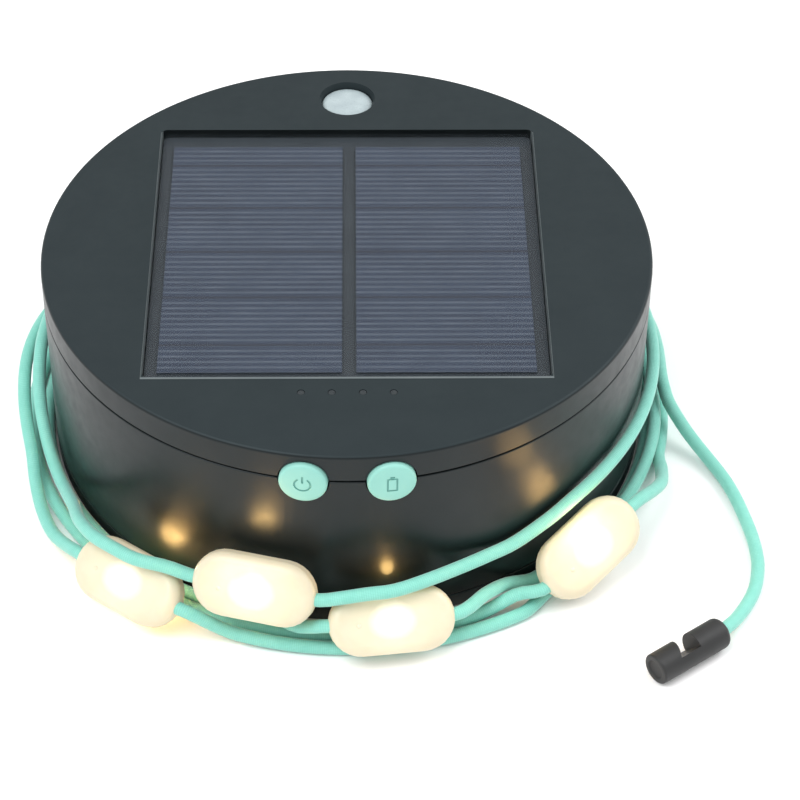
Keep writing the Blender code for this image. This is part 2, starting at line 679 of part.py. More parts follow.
def build():
    clear_scene()
    black = material("black_housing", (0.012, 0.014, 0.016), 0.42)
    charcoal = material("charcoal_plastic", (0.03, 0.032, 0.034), 0.6)
    mint = material("mint_rubber", (0.25, 0.72, 0.60), 0.55)
    rubber = material("black_rubber", (0.02, 0.02, 0.02), 0.8)
    cell = material("solar_cell", (0.03, 0.035, 0.08), 0.3)
    sheet = material("clear_sheet", (0.8, 0.82, 0.85), 0.08, transmission=1.0)
    frosted = material("frosted_diffuser", (0.95, 0.86, 0.62), 0.4, transmission=0.4)
    board = material("circuit_board", (0.03, 0.20, 0.10), 0.5)
    steel = material("steel", (0.6, 0.6, 0.62), 0.3, 1.0)
    mirror = material("mirror_chrome", (0.85, 0.85, 0.86), 0.08, 1.0)
    wrap = material("battery_wrap", (0.05, 0.16, 0.42), 0.35)
    white = material("white_led", (0.9, 0.9, 0.85), 0.4)

    base_cap(black)
    cord_spool(charcoal)
    stowed_cord(mint)
    lower_housing(black)
    housing_seal(rubber)
    top_cover(black)
    solar_panel(rubber, charcoal, cell, sheet)
    torch(sheet, mirror, white)
    indicators(sheet, white)
    buttons(mint, board, charcoal)
    electronics(board, charcoal, wrap, charcoal, steel)
    usb_port(board, steel, rubber)
    fasteners(steel, rubber)
    cord_runs(mint)
    for number, node in enumerate(NODES, 1):
        led_node(f"led_node_{number}", node, frosted)
    hook_clip(charcoal)


build()
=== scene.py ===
"""Looks of the solar string lights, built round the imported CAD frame.

The frame has +Z up, its origin at the centre of the underside and the buttons facing -Y. Angles on the
puck run clockwise seen from above: 0 is the back (+Y), 90 the right (+X), 180 the front, 270 the left.
Lengths in this file are in millimetres, and every mesh is scaled to metres when it is made.
"""

import json
import math

import bmesh
import bpy
from mathutils import Matrix, Vector

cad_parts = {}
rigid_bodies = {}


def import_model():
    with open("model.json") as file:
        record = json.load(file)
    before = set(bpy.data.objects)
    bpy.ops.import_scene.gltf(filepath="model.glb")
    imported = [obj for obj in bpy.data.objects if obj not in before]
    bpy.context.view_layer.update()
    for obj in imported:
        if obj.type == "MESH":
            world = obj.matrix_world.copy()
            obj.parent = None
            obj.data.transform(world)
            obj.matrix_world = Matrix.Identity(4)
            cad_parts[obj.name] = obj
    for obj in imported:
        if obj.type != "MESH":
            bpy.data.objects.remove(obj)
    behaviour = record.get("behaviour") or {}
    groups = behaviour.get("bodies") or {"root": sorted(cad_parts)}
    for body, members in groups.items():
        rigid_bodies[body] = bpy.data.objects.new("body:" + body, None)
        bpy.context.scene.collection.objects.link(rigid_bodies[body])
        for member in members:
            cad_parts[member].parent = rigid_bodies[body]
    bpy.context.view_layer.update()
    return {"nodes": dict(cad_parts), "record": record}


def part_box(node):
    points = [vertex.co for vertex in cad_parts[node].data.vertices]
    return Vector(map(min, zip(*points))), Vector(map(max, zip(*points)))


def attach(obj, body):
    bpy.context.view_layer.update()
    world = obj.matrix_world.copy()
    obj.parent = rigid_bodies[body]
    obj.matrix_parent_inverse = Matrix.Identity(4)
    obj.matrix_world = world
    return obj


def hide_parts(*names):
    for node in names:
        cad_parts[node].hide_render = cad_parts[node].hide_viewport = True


MM = 0.001
UP = Vector((0, 0, 1))

# The camera, fitted to the rim, the seam and the wall
EYE = (1.466, -443.49, 408.87)
LOOK = (0.01737, 0.73725, -0.67540)
ROLL = 0.74
LENS = 117.88

# The cord and what is on it
CORD = 2.9
NODE_LENGTH = 26.5
NODE_WIDTH = 14.0
NODE_THICK = 6.0
ON_GROUND = 1.5
WALL_LANE = 68.4
MIDDLE_LANE = 71.9
OUTER_LANE = 75.4
VALLEY = (70.15, 4.75)
HOOK_START = (1572.8, 107.0, 3.5)
HOOK_TIP = (63.3, -83.6, 3.5)
HOOK_TILT = 41
HOOK_RADIUS = 3.4

# The cord runs clockwise from its exit at the back. A station is (angle, radius, height), where the
# angle keeps counting up from turn to turn. An LED node sits between each run and the next, as
# (angle, radius, height, lean of its face above the horizontal, fall of its leading end).
RUNS = (
    (
        (-4, 56.0, 9.8), (-2, 60.5, 8.4), (0, 65.5, 7.8), (3, 69.2, 7.5), (8, 71.2, 6.8),
        (16, MIDDLE_LANE, 4.6), (26, MIDDLE_LANE, ON_GROUND), (60, MIDDLE_LANE, ON_GROUND),
        (103, MIDDLE_LANE, ON_GROUND), (110, 74.2, 4.2), (117, 76.2, 8.6),
    ),
    (
        (151, 73.0, 5.2), (156, 72.1, 2.6), (161, MIDDLE_LANE, ON_GROUND),
        (200, MIDDLE_LANE, ON_GROUND),
        (250, MIDDLE_LANE, ON_GROUND), (300, 72.2, ON_GROUND), (308, 73.8, 2.6),
    ),
    (
        (340, 71.6, 1.9), (350, 68.8, ON_GROUND), (360, WALL_LANE, ON_GROUND),
        (430, WALL_LANE, ON_GROUND), (504, WALL_LANE, ON_GROUND), (510, 68.9, 4.4),
        (516, 71.6, 7.4),
    ),
    (
        (546, 74.8, 7.0), (549, 73.2, 5.3), (553, 70.7, 5.0), (558, 68.6, 3.2),
        (564, WALL_LANE, ON_GROUND), (600, WALL_LANE, ON_GROUND), (638, WALL_LANE, ON_GROUND),
        (650, 68.8, 4.6), (660, 70.6, 8.4), (670, MIDDLE_LANE, 12.2), (680, MIDDLE_LANE, 15.7),
        (690, MIDDLE_LANE, 18.8), (700, 70.6, 21.0), (712, 69.0, 22.4), (724, 69.6, 23.0),
    ),
    (
        (757, 69.2, 22.0), (770, WALL_LANE, 20.9), (790, WALL_LANE, 20.4), (812, 68.6, 20.2),
        (843, WALL_LANE, 20.0), (854, WALL_LANE, 19.4), (863, WALL_LANE, 17.4),
        (872, 68.6, 15.6), (880, 69.8, 15.8), (888, 73.2, 17.4), (895, 74.9, 17.4),
        (901, 74.9, 16.2),
    ),
    (
        (930, 76.0, 16.4), (936, 78.0, 16.8), (942, 78.0, 16.4), (948, 76.0, 14.2),
        (956, 71.8, 9.6), (964, 69.9, 6.6), (970, 69.7, 8.0), (976, 69.7, 12.0),
        (983, 69.4, 16.0), (991, 68.8, 19.6), (1010, WALL_LANE, 19.2), (1030, WALL_LANE, 17.8),
        (1050, WALL_LANE, 16.2), (1070, WALL_LANE, 15.0), (1100, WALL_LANE, 12.9),
        (1114, 69.6, 11.2),
    ),
    (
        (1146, 70.0, 9.8), (1156, 69.0, 7.6), (1168, 69.5, 5.2), (1180, *VALLEY),
        (1206, *VALLEY), (1213, 71.5, 3.7), (1221, MIDDLE_LANE, ON_GROUND), (1226, 73.6, ON_GROUND),
        (1231, OUTER_LANE, ON_GROUND), (1262, OUTER_LANE, ON_GROUND), (1278, 75.6, 2.2),
    ),
    (
        (1310, 78.0, 6.2), (1316, 77.3, 3.8), (1322, 75.9, 3.4), (1328, 74.4, 5.2),
        (1333, 73.3, 8.4), (1342, 73.0, 12.8), (1350, 72.4, 15.6), (1358, 71.2, 16.4),
        (1370, 69.2, 15.4), (1382, WALL_LANE, 14.2), (1410, WALL_LANE, 12.4),
        (1430, 69.6, 11.4), (1439, 71.5, 11.2), (1446, 73.2, 10.2), (1452, 76.8, 7.0),
        (1457, 80.6, 4.2),
    ),
    (
        (1484, 80.2, 2.4), (1494, 78.6, 2.0), (1504, 76.2, 4.0), (1513, 74.2, 6.6),
        (1521, 72.6, 8.2), (1529, 71.7, 8.6), (1534, 72.6, 7.8), (1538, 76.0, 5.2),
        (1542, 81.4, 2.4), (1546, 86.8, ON_GROUND), (1553, 94.6, ON_GROUND),
        (1558, 100.2, ON_GROUND), (1561, 103.0, ON_GROUND), (1565, 105.4, ON_GROUND),
        (1569, 106.4, 1.9), HOOK_START,
    ),
)
NODES = (
    (136.9, 74.7, 9.9, 50, 14),
    (323.0, 74.0, 3.4, 90, 0),
    (533.1, 74.9, 8.9, 47, 0),
    (740.0, 70.1, 23.2, 0, 0),
    (915.2, 73.2, 14.8, 30, 0),
    (1130.0, 70.1, 10.9, 0, 0),
    (1296.4, 77.4, 8.2, 47, 0),
    (1470.0, 81.0, 3.4, 90, 0),
)
SAMPLE_STEP = 0.5
RING_STEP = 2.0
CORD_SIDES = 16
STRANDS_ROUND = 14
STRAND_PITCH = 0.9

# Lamps beside the nodes, for the glow on the wall: ((angle, radius, height), watts, lamp radius)
GLOWS = (
    ((137.5, 74.4, 16.0), 0.009, 4.4),
    ((145.2, 73.6, 34.0), 0.0034, 5.0),
    ((172.8, 69.0, 13.4), 0.0045, 2.0),
    ((197.0, 73.4, 17.6), 0.036, 4.4),
    ((217.0, 73.8, 9.6), 0.042, 4.4),
)

# The puck
SEAM = 41.0
SEAM_GAP = 0.3
RIM_ROUND = 0.8
WALL = 2.2
POCKET_HALF = 42.4
POCKET_FLOOR = 44.4
POCKET_ROUND = 1.2
TORCH_Y = 54.6
TORCH_HOLE = 6.0
TORCH_BEZEL = 6.5
INDICATOR_Y = -47.1
INDICATOR_XS = (-9.5, -3.2, 3.2, 9.5)
BUTTON_ANGLE = 7.7
BUTTON_RADIUS = 5.0
BUTTON_FACE = 67.7
USB_HEIGHT = 32.6
NOTCH_HALF = 4.6
NOTCH_TOP = 9.8
ROUND_STEPS = 192
EDGE = 0.22
TRAY_HALF = 44.5
CAP_TOP = 4.0
PORT_HALF = 4.9
FINGER_PITCH = 1.72
STRIP_PITCH = 15.4

# The stage
FLOOR_REACH = 4000
FLOOR_DROP = -0.05
WARM = (1.0, 0.58, 0.20)
COOL = (0.86, 0.97, 1.0, 1.0)


# ---------------------------------------------------------------- the camera


def add_camera():
    """The camera, in front of the object and above it, rolled a little about its view."""
    data = bpy.data.cameras.new("camera")
    data.lens = LENS
    data.sensor_width = 36
    eye = bpy.data.objects.new("camera", data)
    forward = Vector(LOOK).normalized()
    level_right = forward.cross(UP).normalized()
    level_up = level_right.cross(forward)
    turn = math.radians(ROLL)
    right = level_right * math.cos(turn) + level_up * math.sin(turn)
    up = level_up * math.cos(turn) - level_right * math.sin(turn)
    eye.matrix_world = Matrix.Translation(Vector(EYE) * MM) @ Matrix(
        (right, up, -forward)).transposed().to_4x4()
    bpy.context.scene.collection.objects.link(eye)
    bpy.context.scene.camera = eye


# ---------------------------------------------------------------- shapes, in millimetres


def place(name, bm, look, body="housing", sharp=38):
    """Turns a bmesh in millimetres into a piece that rides on a body, or without a look into a helper."""
    bmesh.ops.recalc_face_normals(bm, faces=bm.faces)
    bmesh.ops.scale(bm, verts=bm.verts, vec=(MM, MM, MM))
    mesh = bpy.data.meshes.new(name)
    bm.to_mesh(mesh)
    bm.free()
    obj = bpy.data.objects.new(name, mesh)
    bpy.context.scene.collection.objects.link(obj)
    if look:
        mesh.materials.append(look)
        mesh.shade_smooth()
        mesh.set_sharp_from_angle(angle=math.radians(sharp))
        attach(obj, body)
    return obj


def apply_modifiers(obj):
    """Replaces the object's mesh by what its modifiers make of it."""
    graph = bpy.context.evaluated_depsgraph_get()
    made = bpy.data.meshes.new_from_object(obj.evaluated_get(graph), depsgraph=graph)
    obj.modifiers.clear()
    obj.data = made


def cut(target, cutters, cut_face_look=None):
    """Cuts each shape out of the target. Given a look for them, the cut faces take that material; the
    buttons use it to paint shade into their sunk icons.
    """
    helpers = []
    for shape in cutters:
        helper = place(f"{target.name}.cutter", shape, None)
        if cut_face_look:
            helper.data.materials.append(cut_face_look)
        modifier = target.modifiers.new("cut", "BOOLEAN")
        modifier.operation = "DIFFERENCE"
        modifier.object = helper
        modifier.material_mode = "TRANSFER" if cut_face_look else "INDEX"
        helpers.append(helper)
    bpy.context.view_layer.update()
    apply_modifiers(target)
    for helper in helpers:
        bpy.data.objects.remove(helper)


def soften(target, width, angle=42, segments=2):
    """Rounds the sharp edges a little and shades the flat faces flat."""
    bevel = target.modifiers.new("edge", "BEVEL")
    bevel.width = width * MM
    bevel.segments = segments
    bevel.limit_method = "ANGLE"
    bevel.angle_limit = math.radians(angle)
    bevel.use_clamp_overlap = True
    bevel.harden_normals = False
    apply_modifiers(target)
    target.data.shade_smooth()
    target.data.set_sharp_from_angle(angle=math.radians(34))
    weigh = target.modifiers.new("normals", "WEIGHTED_NORMAL")
    weigh.keep_sharp = True
    apply_modifiers(target)


def around(angle, radius, height):
    """The point at an angle clockwise from the back, at a radius and a height."""
    turn = math.radians(angle)
    return Vector((radius * math.sin(turn), radius * math.cos(turn), height))


def turned(profile, steps=ROUND_STEPS):
    """A closed (radius, height) outline spun round the Z axis."""
    bm = bmesh.new()
    ring = [bm.verts.new((radius, 0, height)) for radius, height in profile]
    for first, second in zip(ring, ring[1:] + ring[:1]):
        if first.co.x or second.co.x:
            bm.edges.new((first, second))
    bmesh.ops.spin(
        bm, geom=bm.verts[:] + bm.edges[:], cent=(0, 0, 0), axis=(0, 0, 1),
        angle=math.tau, steps=steps, use_merge=True,
    )
    bmesh.ops.remove_doubles(bm, verts=bm.verts, dist=0.0005)
    return bm


def arc(centre, radius, start, end, steps=6):
    """Points of an arc in the (radius, height) plane, between two angles in degrees."""
    found = []
    for step in range(steps + 1):
        turn = math.radians(start + (end - start) * step / steps)
        found.append((centre[0] + radius * math.cos(turn), centre[1] + radius * math.sin(turn)))
    return found


def prism(outline, bottom, top):
    """A flat (x, y) outline raised from bottom to top."""
    bm = bmesh.new()
    floor = bm.faces.new([bm.verts.new((x, y, bottom)) for x, y in outline])
    raised = bmesh.ops.extrude_face_region(bm, geom=[floor])["geom"]
    points = [item for item in raised if isinstance(item, bmesh.types.BMVert)]
    bmesh.ops.translate(bm, verts=points, vec=(0, 0, top - bottom))
    return bm


def rounded_outline(x, y, corner, steps=8):
    centres = ((x[1] - corner, y[1] - corner), (x[0] + corner, y[1] - corner),
               (x[0] + corner, y[0] + corner), (x[1] - corner, y[0] + corner))
    found = []
    for quarter, centre in enumerate(centres):
        found += arc(centre, corner, 90 * quarter, 90 * quarter + 90, steps)
    return found


def rounded_block(x, y, z, corner, steps=8):
    """A box whose four upright edges are rounded."""
    return prism(rounded_outline(x, y, corner, steps), z[0], z[1])


def moved(bm, matrix):
    bmesh.ops.transform(bm, matrix=matrix, verts=bm.verts)
    return bm


def at(bm, x, y, z=0.0):
    return moved(bm, Matrix.Translation((x, y, z)))


def disc(radius, bottom, top, steps=48):
    """An upright cylinder on the Z axis."""
    return turned([(0, bottom), (radius, bottom), (radius, top), (0, top)], steps)


def outward_turn(angle, height=0.0):
    """Lays a shape's Z axis along the radius at an angle, at a height. Its X axis stays level."""
    lay = Matrix.Rotation(math.radians(-angle), 4, "Z") @ Matrix.Rotation(-math.pi / 2, 4, "X")
    return Matrix.Translation((0, 0, height)) @ lay


def outward(bm, angle, height=0.0):
    return moved(bm, outward_turn(angle, height))


def merged(shapes):
    """Several bmeshes as one, with no Boolean between them."""
    whole = bmesh.new()
    for shape in shapes:
        mesh = bpy.data.meshes.new("part")
        shape.to_mesh(mesh)
        shape.free()
        whole.from_mesh(mesh)
        bpy.data.meshes.remove(mesh)
    return whole


# ---------------------------------------------------------------- procedural materials


class Look:
    """A Principled material with helpers for the procedural nodes that feed it."""

    def __init__(self, name, **values):
        self.material = bpy.data.materials.new(name)
        self.material.use_nodes = True
        self.nodes = self.material.node_tree.nodes
        self.links = self.material.node_tree.links
        self.shader = self.nodes["Principled BSDF"]
        for socket, value in values.items():
            self.shader.inputs[socket.replace("_", " ")].default_value = value
        self.height = None

    def space(self, kind="Object"):
        return self.nodes.new("ShaderNodeTexCoord").outputs[kind]

    def stretched(self, scale):
        """Object coordinates, each axis times its own scale."""
        mapping = self.nodes.new("ShaderNodeMapping")
        mapping.inputs["Scale"].default_value = scale
        self.links.new(self.space(), mapping.inputs["Vector"])
        return mapping.outputs["Vector"]

    def noise(self, size, detail=3.0, vector=None):
        """Noise whose features are about size millimetres across."""
        made = self.nodes.new("ShaderNodeTexNoise")
        made.inputs["Scale"].default_value = 1 / (size * MM)
        made.inputs["Detail"].default_value = detail
        self.links.new(vector or self.space(), made.inputs["Vector"])
        return made.outputs["Fac"]

    def cells(self, size, feature="F1"):
        """Voronoi distance in cells about size millimetres across."""
        made = self.nodes.new("ShaderNodeTexVoronoi")
        made.feature = feature
        made.inputs["Scale"].default_value = 1 / (size * MM)
        self.links.new(self.space(), made.inputs["Vector"])
        return made.outputs["Distance"]

    def math(self, operation, first, second=0.5, third=0.5):
        made = self.nodes.new("ShaderNodeMath")
        made.operation = operation
        for socket, value in zip(made.inputs, (first, second, third)):
            if isinstance(value, (int, float)):
                socket.default_value = value
            else:
                self.links.new(value, socket)
        return made.outputs["Value"]

    def axis(self, name, kind="Object"):
        made = self.nodes.new("ShaderNodeSeparateXYZ")
        self.links.new(self.space(kind), made.inputs["Vector"])
        return made.outputs[name]

    def ramp(self, factor, stops):
        """A colour or a grey from a factor, through (place, value) stops."""
        made = self.nodes.new("ShaderNodeValToRGB")
        bar = made.color_ramp
        while len(bar.elements) < len(stops):
            bar.elements.new(0.5)
        for element, (where, value) in zip(bar.elements, stops):
            element.position = where
            colour = value if isinstance(value, tuple) else (value,) * 3
            element.color = (*colour, 1.0)
        self.links.new(factor, made.inputs["Fac"])
        return made.outputs["Color"]

    def blend(self, factor, low, high):
        """A mix of two colours, each a tuple or a socket."""
        made = self.nodes.new("ShaderNodeMix")
        made.data_type = "RGBA"
        self.links.new(factor, made.inputs["Factor"])
        for socket, value in ((made.inputs[6], low), (made.inputs[7], high)):
            if isinstance(value, tuple):
                socket.default_value = (*value, 1.0)
            else:
                self.links.new(value, socket)
        return made.outputs[2]

    def feed(self, socket, source):
        self.links.new(source, self.shader.inputs[socket])

    def bump(self, height, depth):
        """Adds relief that is depth millimetres high for a height of one."""
        made = self.nodes.new("ShaderNodeBump")
        made.inputs["Distance"].default_value = depth * MM
        made.inputs["Strength"].default_value = 1.0
        self.links.new(height, made.inputs["Height"])
        if self.height:
            self.links.new(self.height, made.inputs["Normal"])
        self.height = made.outputs["Normal"]
        self.links.new(self.height, self.shader.inputs["Normal"])


def moulded(name, dark, light, grain, depth, roughness, **values):
    """Moulded plastic or rubber: fine spark-eroded grain, faint mottling and uneven gloss."""
    look = Look(name, **values)
    mottle = look.noise(9.0, 4.0)
    look.feed("Base Color", look.ramp(mottle, ((0.3, dark), (0.7, light))))
    look.feed("Roughness", look.ramp(look.noise(3.0, 5.0), (
        (0.3, roughness - 0.04), (0.7, roughness + 0.05))))
    look.bump(look.noise(grain, 2.0), depth)
    return look


def housing_top_look():
    """The lid's face: matt, with the heavier grain."""
    look = moulded("housing_top", (0.0105, 0.0165, 0.0190), (0.0125, 0.0190, 0.0215), 0.32, 0.014,
                   0.52, Specular_IOR_Level=0.26, Specular_Tint=COOL)
    return look.material


def housing_wall_look():
    """The wall: darker and glossier, so that the nodes' light shows in it."""
    look = moulded("housing_wall", (0.0040, 0.0056, 0.0062), (0.0052, 0.0070, 0.0078), 0.45, 0.005,
                   0.34, Specular_IOR_Level=0.30, Specular_Tint=COOL)
    return look.material


def mint_rubber_look():
    look = moulded("mint_silicone", (0.235, 0.52, 0.455), (0.26, 0.56, 0.49), 0.5, 0.006, 0.5,
                   Specular_IOR_Level=0.4)
    return look.material


def painted_icon_shade_look():
    # Darker teal for the faces of the sunk icons: painted shade in their grooves.
    look = moulded("icon_groove_painted_shade", (0.13, 0.37, 0.32), (0.15, 0.40, 0.35), 0.4, 0.006, 0.6)
    return look.material


def charcoal_look():
    look = moulded("charcoal_plastic", (0.019, 0.0195, 0.020), (0.025, 0.0255, 0.026), 0.3, 0.012,
                   0.5, Specular_IOR_Level=0.35)
    return look.material


def rubber_look():
    look = moulded("black_rubber", (0.016, 0.017, 0.018), (0.022, 0.023, 0.024), 0.35, 0.02, 0.7)
    return look.material


def cord_look():
    """Braided cord: two sets of strands that cross, in a UV map that counts strands, with painted shade
    where the weave dips between them.
    """
    look = Look("mint_braid", Roughness=0.62, Sheen_Weight=0.35, Sheen_Roughness=0.4)
    along = look.axis("X", "UV")
    round_it = look.axis("Y", "UV")
    rising = look.math("SINE", look.math("MULTIPLY", look.math("ADD", along, round_it), math.tau))
    falling = look.math("SINE", look.math(
        "MULTIPLY", look.math("SUBTRACT", along, round_it), math.tau))
    weave = look.math("MULTIPLY", rising, falling)
    relief = look.math("MULTIPLY_ADD", weave, 0.5, 0.5)
    fleck = look.noise(1.8, 5.0)
    tone = look.ramp(fleck, ((0.3, (0.195, 0.56, 0.47)), (0.7, (0.255, 0.64, 0.55))))
    # Painted shade: the colour is darker where the weave is low, between the strands.
    look.feed("Base Color", look.blend(relief, (0.165, 0.50, 0.41), tone))
    look.bump(relief, 0.045)
    look.bump(look.noise(0.5, 3.0), 0.03)
    return look.material


def diffuser_look():
    """Frosted shell lit from inside: a bright core over the LED in a warm cream body."""
    look = Look("frosted_shell", Emission_Strength=1.0, Subsurface_Weight=0.2, Coat_Weight=0.1,
                Coat_Roughness=0.3)
    look.shader.inputs["Subsurface Radius"].default_value = (1.0, 0.75, 0.4)
    look.shader.inputs["Subsurface Scale"].default_value = 0.002
    spread = look.stretched((1 / 5.6, 1 / 4.6, 1 / 5.2))
    distance = look.nodes.new("ShaderNodeVectorMath")
    distance.operation = "LENGTH"
    look.links.new(spread, distance.inputs[0])
    glow_reach = 2.6
    reach = look.math("MULTIPLY", distance.outputs["Value"], 1 / MM / glow_reach)
    cloud = look.noise(4.0, 3.0)
    hazy = look.math("ADD", reach, look.math("MULTIPLY", look.math("SUBTRACT", cloud, 0.5), 0.10))
    look.feed("Emission Color", look.ramp(hazy, (
        (0.0, (1.0, 0.97, 0.88)), (0.26, (0.80, 0.75, 0.62)), (0.42, (0.22, 0.185, 0.12)),
        (0.70, (0.10, 0.080, 0.045)), (1.0, (0.045, 0.033, 0.018)))))
    look.feed("Base Color", look.ramp(cloud, ((0.3, (0.59, 0.53, 0.39)), (0.7, (0.63, 0.575, 0.435)))))
    look.feed("Roughness", look.ramp(look.noise(1.2, 4.0), ((0.3, 0.36), (0.7, 0.48))))
    look.bump(look.noise(0.6, 3.0), 0.012)
    return look.material


def solar_cell_look():
    """Dark blue silicon in strips, with fine silver fingers across it and a clear coat."""
    look = Look("solar_silicon", Coat_Weight=0.2, Coat_Roughness=0.25, Specular_IOR_Level=0.3)
    down = look.math("MULTIPLY", look.axis("Y"), 1 / MM)
    finger = look.math("PINGPONG", look.math("MULTIPLY", down, 1 / FINGER_PITCH), 0.5)
    line = look.ramp(finger, ((0.0, 1.0), (0.08, 1.0), (0.26, 0.0), (1.0, 0.0)))
    strip = look.math("PINGPONG", look.math("MULTIPLY", down, 1 / STRIP_PITCH), 0.5)
    joint = look.ramp(strip, ((0.0, 0.0), (0.018, 0.0), (0.03, 1.0), (1.0, 1.0)))
    crystal = look.noise(7.0, 4.0, look.stretched((0.35, 1.0, 1.0)))
    silicon = look.ramp(crystal, ((0.3, (0.017, 0.026, 0.047)), (0.7, (0.024, 0.036, 0.062))))
    silver = look.ramp(look.noise(5.0, 2.0), ((0.3, (0.048, 0.063, 0.090)), (0.7, (0.070, 0.088, 0.118))))
    printed = look.blend(line, silicon, silver)
    look.feed("Base Color", look.blend(joint, (0.017, 0.022, 0.036), printed))
    look.feed("Roughness", look.ramp(line, ((0.0, 0.30), (1.0, 0.42))))
    look.bump(line, 0.015)
    return look.material


def cover_sheet_look():
    """Thin clear lacquer over the cells. It shows as a faint haze and a soft gloss."""
    look = Look("clear_laminate", Alpha=0.05, IOR=1.45)
    look.feed("Base Color", look.ramp(look.noise(12.0, 3.0), (
        (0.3, (0.052, 0.066, 0.076)), (0.7, (0.066, 0.081, 0.092)))))
    look.feed("Roughness", look.ramp(look.noise(4.0, 4.0), ((0.3, 0.24), (0.7, 0.32))))
    return look.material


def painted_rim_highlight_look():
    """The rim round the panel's recess in a lighter grey: a painted highlight where its edges catch the
    light.
    """
    look = moulded("pocket_rim_painted_highlight", (0.085, 0.105, 0.110), (0.105, 0.125, 0.130), 0.4, 0.006, 0.4)
    return look.material


def panel_board_look():
    """Smooth black backing of the panel, seen as a margin round the cells."""
    look = moulded("panel_backing", (0.022, 0.028, 0.034), (0.027, 0.034, 0.041), 0.8, 0.002, 0.5,
                   Specular_IOR_Level=0.3)
    return look.material


def lens_look():
    """Milky torch lens, faintly clouded, over the bright reflector."""
    look = Look("torch_window", Coat_Weight=0.3, Coat_Roughness=0.12, IOR=1.49)
    cloud = look.cells(2.4, feature="SMOOTH_F1")
    look.feed("Base Color", look.ramp(cloud, ((0.1, (0.36, 0.43, 0.445)), (0.8, (0.29, 0.35, 0.37)))))
    look.feed("Roughness", look.ramp(look.noise(0.8, 3.0), ((0.3, 0.22), (0.7, 0.38))))
    look.bump(look.cells(1.4, feature="SMOOTH_F1"), 0.012)
    return look.material


def light_pipe_look():
    """Smoked clear plastic of the indicator dots."""
    look = Look("light_pipe", Transmission_Weight=0.15, IOR=1.49, Specular_IOR_Level=0.3)
    look.feed("Base Color", look.ramp(look.noise(0.6, 2.0), (
        (0.3, (0.022, 0.028, 0.032)), (0.7, (0.030, 0.037, 0.041)))))
    look.feed("Roughness", look.ramp(look.noise(0.3, 2.0), ((0.3, 0.25), (0.7, 0.4))))
    return look.material


def metal_look(name, dark, light, roughness):
    """Bare metal with fine upright brush marks."""
    look = Look(name, Metallic=1.0)
    brushed = look.noise(1.2, 4.0, look.stretched((1.0, 1.0, 0.12)))
    look.feed("Base Color", look.ramp(brushed, ((0.3, dark), (0.7, light))))
    look.feed("Roughness", look.ramp(brushed, ((0.3, roughness), (0.7, roughness + 0.12))))
    look.bump(brushed, 0.008)
    return look.material


def board_look():
    """Green solder resist over copper tracks."""
    look = Look("solder_resist", Coat_Weight=0.4, Coat_Roughness=0.2)
    track = look.ramp(look.cells(2.4, feature="DISTANCE_TO_EDGE"), ((0.05, 1.0), (0.09, 0.0)))
    look.feed("Base Color", look.blend(track, (0.012, 0.10, 0.045), (0.03, 0.19, 0.08)))
    look.feed("Roughness", look.ramp(look.noise(1.0, 3.0), ((0.3, 0.34), (0.7, 0.46))))
    look.bump(track, 0.04)
    return look.material


def wrap_look():
    """Blue shrink wrap with lengthwise wrinkles, with painted shade in their folds and painted highlight
    on their crests.
    """
    look = Look("shrink_wrap", Coat_Weight=0.3, Coat_Roughness=0.15)
    wrinkle = look.noise(2.5, 4.0, look.stretched((0.15, 1.0, 1.0)))
    # Painted shade and highlight: the colour follows the wrinkles' height, darker in the folds.
    look.feed("Base Color", look.ramp(wrinkle, ((0.3, (0.02, 0.09, 0.30)), (0.7, (0.03, 0.12, 0.38)))))
    look.feed("Roughness", look.ramp(wrinkle, ((0.3, 0.25), (0.7, 0.4))))
    look.bump(wrinkle, 0.05)
    return look.material


def white_led_look():
    """White LED package with a yellow phosphor patch."""
    look = Look("led_package")
    patch = look.ramp(look.cells(1.6), ((0.25, 1.0), (0.4, 0.0)))
    look.feed("Base Color", look.blend(patch, (0.84, 0.84, 0.80), (0.80, 0.62, 0.12)))
    look.feed("Roughness", look.ramp(look.noise(0.5, 3.0), ((0.3, 0.3), (0.7, 0.5))))
    return look.material


def floor_look():
    """Matt white paper."""
    look = Look("studio_floor", Specular_IOR_Level=0.2)
    look.feed("Base Color", look.ramp(look.noise(40.0, 3.0), ((0.3, (0.93, 0.93, 0.93)),
                                                              (0.7, (0.95, 0.95, 0.95)))))
    look.feed("Roughness", look.ramp(look.noise(8.0, 3.0), ((0.3, 0.7), (0.7, 0.8))))
    return look.material


# ---------------------------------------------------------------- the cord's route


def node_axes(node):
    """A node's centre, its long axis along the cord and the direction that its face looks in."""
    angle, radius, height, lean, fall = node
    lean, fall = math.radians(lean), math.radians(fall)
    out = around(angle, 1, 0)
    along = around(angle + 90, math.cos(fall), -math.sin(fall))
    face = out * math.cos(lean) + Vector((0, 0, math.sin(lean)))
    face = (face - along * face.dot(along)).normalized()
    return around(angle, radius, height), along, face


def node_stations(node):
    """The cord's stations as it enters a node, at its middle and as it leaves it."""
    centre, along, _ = node_axes(node)
    turn = node[0] // 360 * 360
    found = []
    for reach in (-NODE_LENGTH / 2, 0, NODE_LENGTH / 2):
        point = centre + along * reach
        angle = turn + math.degrees(math.atan2(point.x, point.y)) % 360
        found.append((angle, point.to_2d().length, point.z))
    return found


